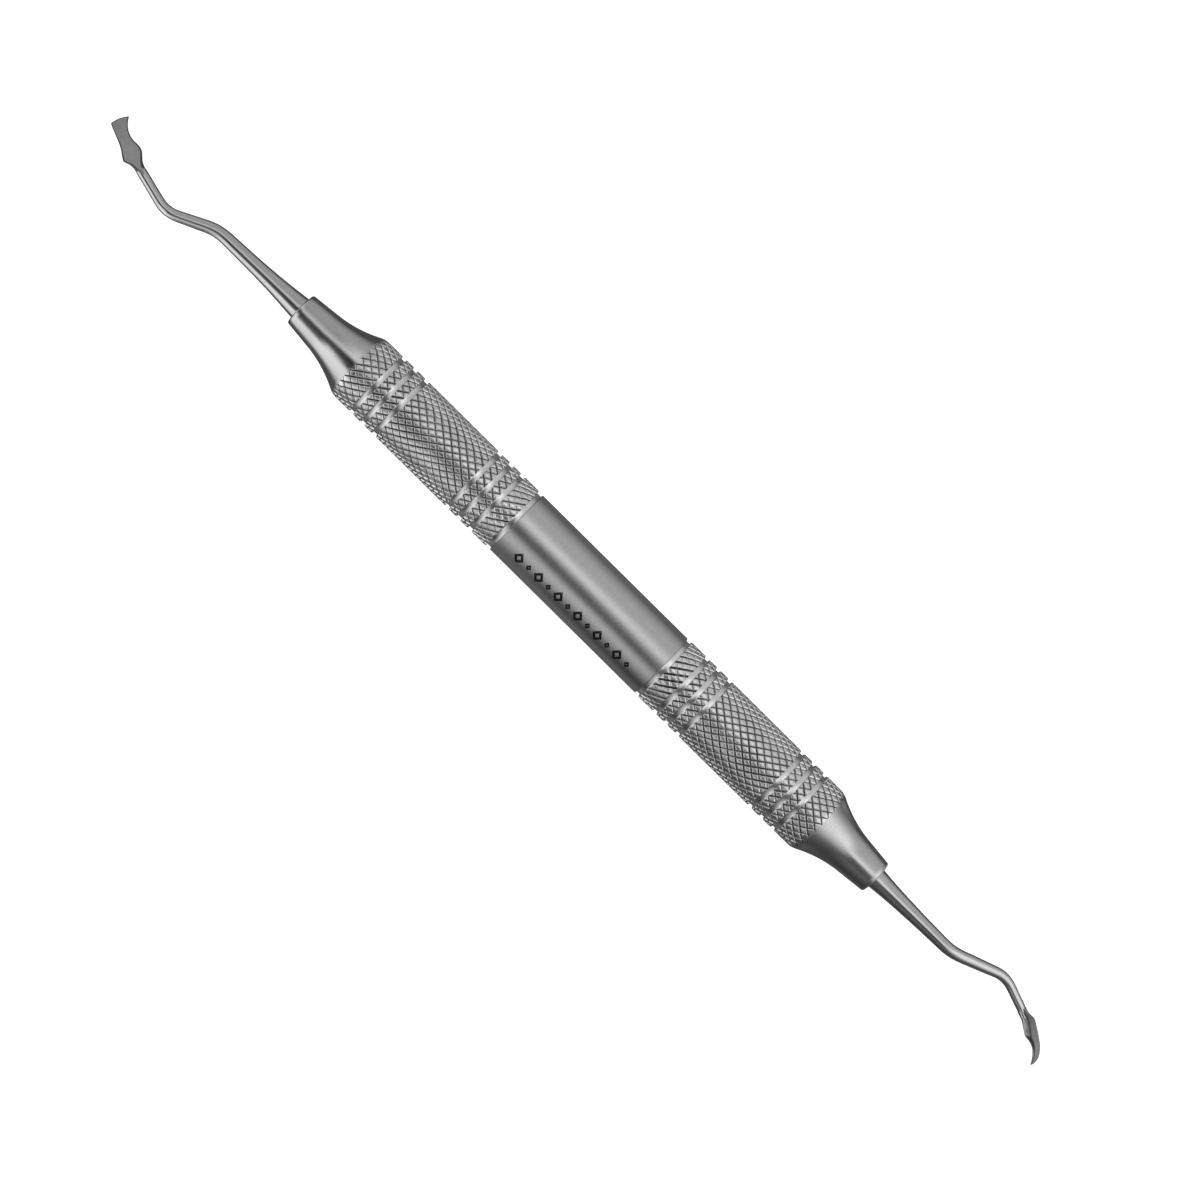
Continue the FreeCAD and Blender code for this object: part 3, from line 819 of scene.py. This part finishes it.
def floor():
    """A white floor that glows a little, so that it stays white, and isn't seen in the steel."""
    corners = [(-FLOOR_HALF, -FLOOR_HALF, FLOOR_HEIGHT), (FLOOR_HALF, -FLOOR_HALF, FLOOR_HEIGHT),
               (FLOOR_HALF, FLOOR_HALF, FLOOR_HEIGHT), (-FLOOR_HALF, FLOOR_HALF, FLOOR_HEIGHT)]
    material, tree, shader = new_material("pale_floor", 0.93, 0.0, 0.7)
    tone = tree.remap(tree.noise(tree.place(), 8.0), 0.3, 0.7, 0.92, 0.94)
    tree.link(tree.grey(tone), shader.inputs["Base Color"])
    shader.inputs["Emission Color"].default_value = (1, 1, 1, 1)
    shader.inputs["Emission Strength"].default_value = FLOOR_GLOW
    shader.inputs["Specular IOR Level"].default_value = 0.0
    item = show(new_mesh("floor", corners, [(0, 1, 2, 3)]), material, smooth=False)
    item.visible_glossy = False


TENT_RADIUS = 120.0
TENT_HALF_LENGTH = 420.0
TENT_SIDES = 96
TENT_ROWS = 24
# What the tent's wall gives off at a few places along the handle, in mm, as (angle, light): the
# angle in degrees from overhead, growing towards +Y.  Between the places it changes evenly.
TENT_WALL = {
    -210.0: [(-180, 0.10), (-140, 0.12), (-128, 0.12), (-115, 0.25), (-106, 0.55), (-90, 0.80),
             (-75, 0.95), (-57, 1.00), (-49, 0.85), (-43, 0.35), (-37, 0.05), (-5, 0.03),
             (1, 0.20), (7, 0.66), (15, 0.86), (29, 0.80), (43, 0.74), (55, 0.60), (70, 0.44),
             (90, 0.40), (107, 0.34), (120, 0.14), (140, 0.10), (180, 0.10)],
    -112.0: [(-180, 0.10), (-130, 0.10), (-116, 0.14), (-106, 0.50), (-96, 0.85), (-84, 0.98),
             (-62, 1.05), (-50, 1.00), (-40, 0.86), (-32, 0.48), (-24, 0.12), (-10, 0.07),
             (-4, 0.20), (2, 0.52), (12, 0.66), (22, 0.46), (35, 0.38), (50, 0.42), (70, 0.44),
             (90, 0.38), (104, 0.22), (114, 0.10), (180, 0.08)],
    -86.0: [(-180, 0.10), (-130, 0.08), (-118, 0.12), (-108, 0.40), (-98, 0.90), (-84, 1.02),
            (-62, 1.05), (-54, 0.86), (-46, 0.36), (-38, 0.10), (-18, 0.05), (-9, 0.14),
            (-2, 0.52), (6, 0.70), (16, 0.50), (30, 0.38), (50, 0.41), (74, 0.42), (90, 0.36),
            (104, 0.22), (114, 0.08), (180, 0.08)],
    0.0: [(-180, 0.10), (-140, 0.16), (-122, 0.18), (-108, 0.10), (-94, 0.04), (-82, 0.12),
          (-70, 0.30), (-58, 0.50), (-46, 0.68), (-36, 0.62), (-28, 0.36), (-20, 0.13), (-6, 0.09),
          (2, 0.22), (9, 0.58), (17, 0.94), (27, 0.98), (35, 0.76), (43, 0.58), (56, 0.55),
          (72, 0.56), (86, 0.46), (98, 0.36), (110, 0.24), (120, 0.14), (133, 0.18), (150, 0.14),
          (180, 0.10)],
    86.0: [(-180, 0.08), (-130, 0.08), (-112, 0.05), (-92, 0.06), (-68, 0.10), (-50, 0.14),
           (-36, 0.09), (-20, 0.09), (-10, 0.28), (-3, 0.92), (7, 0.90), (17, 0.62), (30, 0.50),
           (48, 0.48), (70, 0.48), (90, 0.40), (106, 0.22), (118, 0.08), (180, 0.08)],
    118.0: [(-180, 0.08), (-130, 0.12), (-114, 0.10), (-96, 0.07), (-78, 0.07), (-62, 0.09),
            (-48, 0.12), (-36, 0.18), (-24, 0.42), (-12, 0.60), (0, 0.80), (12, 1.04), (24, 1.06),
            (36, 0.98), (48, 0.84), (66, 0.60), (80, 0.44), (96, 0.32), (112, 0.16), (126, 0.30),
            (145, 0.40), (165, 0.20), (180, 0.10)],
    210.0: [(-180, 0.10), (-132, 0.16), (-107, 0.08), (-90, 0.08), (-76, 0.11), (-57, 0.16),
            (-43, 0.28), (-29, 0.48), (-15, 0.70), (0, 0.86), (15, 0.92), (29, 1.00), (43, 0.98),
            (57, 0.86), (74, 0.68), (90, 0.36), (107, 0.18), (118, 0.18), (128, 0.60), (142, 0.90),
            (158, 0.60), (180, 0.10)],
}


def tent():
    """A soft light tent round the handle, seen only in reflections."""
    outline = [(TENT_HALF_LENGTH * (2 * row / TENT_ROWS - 1), TENT_RADIUS)
               for row in range(TENT_ROWS + 1)]
    material = bpy.data.materials.new("tent_cloth")
    material.use_nodes = True
    material.node_tree.nodes.clear()
    tree = Nodes(material.node_tree)
    split = tree.new("ShaderNodeSeparateXYZ")
    tree.link(tree.place(), split.inputs[0])
    x, y, z = split.outputs
    turn = tree.math("ADD", tree.math("DIVIDE", tree.math("ARCTAN2", y, z), 2 * math.pi), 0.5)
    stations = sorted(TENT_WALL)
    bands = [tree.ramp(turn, [((angle + 180) / 360, light) for angle, light in TENT_WALL[station]])
             for station in stations]
    light = bands[0]
    for before, after, band in zip(stations, stations[1:], bands[1:]):
        light = tree.mix(tree.remap(x, before * MM, after * MM), light, band)
    glow = tree.new("ShaderNodeEmission")
    tree.link(light, glow.inputs["Strength"])
    output = tree.new("ShaderNodeOutputMaterial")
    tree.link(glow.outputs[0], output.inputs["Surface"])
    item = lathe("tent", outline, material, segments=TENT_SIDES)
    item.visible_camera = False
    item.visible_shadow = False


STUDIO_GREY = 0.45


def studio():
    """White to the eye, and an even grey beyond the tent's open ends."""
    world = bpy.data.worlds.new("studio")
    bpy.context.scene.world = world
    world.use_nodes = True
    tree = Nodes(world.node_tree)
    background = world.node_tree.nodes["Background"]
    seen = tree.new("ShaderNodeLightPath").outputs["Is Camera Ray"]
    tree.link(tree.mix(seen, STUDIO_GREY, 1.0), background.inputs["Strength"])
    background.inputs["Color"].default_value = (1, 1, 1, 1)


# The picture's right and up on the object, seen from straight above.
IMAGE_RIGHT = Vector((0.7110, 0.7032, 0.0))
IMAGE_UP = Vector((-0.7032, 0.7110, 0.0))
# The point that the picture is centred on, from the middle of the handle.
AIM = IMAGE_RIGHT * 1.575 - IMAGE_UP * 0.902 - Vector((0.16, 0, 0))
CAMERA_DISTANCE = 550.0
CAMERA_LEAN = -math.radians(1.7)    # about the handle's Y axis; end B is further away
SENSOR_WIDTH = 36.0
FOCAL_LENGTH = 126.56


def camera():
    """The photograph's camera, nearly straight above the object."""
    lean = Matrix.Rotation(CAMERA_LEAN, 3, "Y")
    data = bpy.data.cameras.new("camera")
    data.sensor_width = SENSOR_WIDTH
    data.lens = FOCAL_LENGTH
    data.clip_start = 0.01
    data.clip_end = 20.0
    item = bpy.data.objects.new("camera", data)
    turn = (lean @ Matrix((IMAGE_RIGHT, IMAGE_UP, (0, 0, 1))).transposed()).to_4x4()
    turn.translation = lean @ (AIM + Vector((0, 0, CAMERA_DISTANCE))) * MM
    item.matrix_world = turn
    bpy.context.scene.collection.objects.link(item)
    bpy.context.scene.camera = item


floor()
tent()
studio()
camera()
bpy.context.scene.view_settings.view_transform = "Standard"
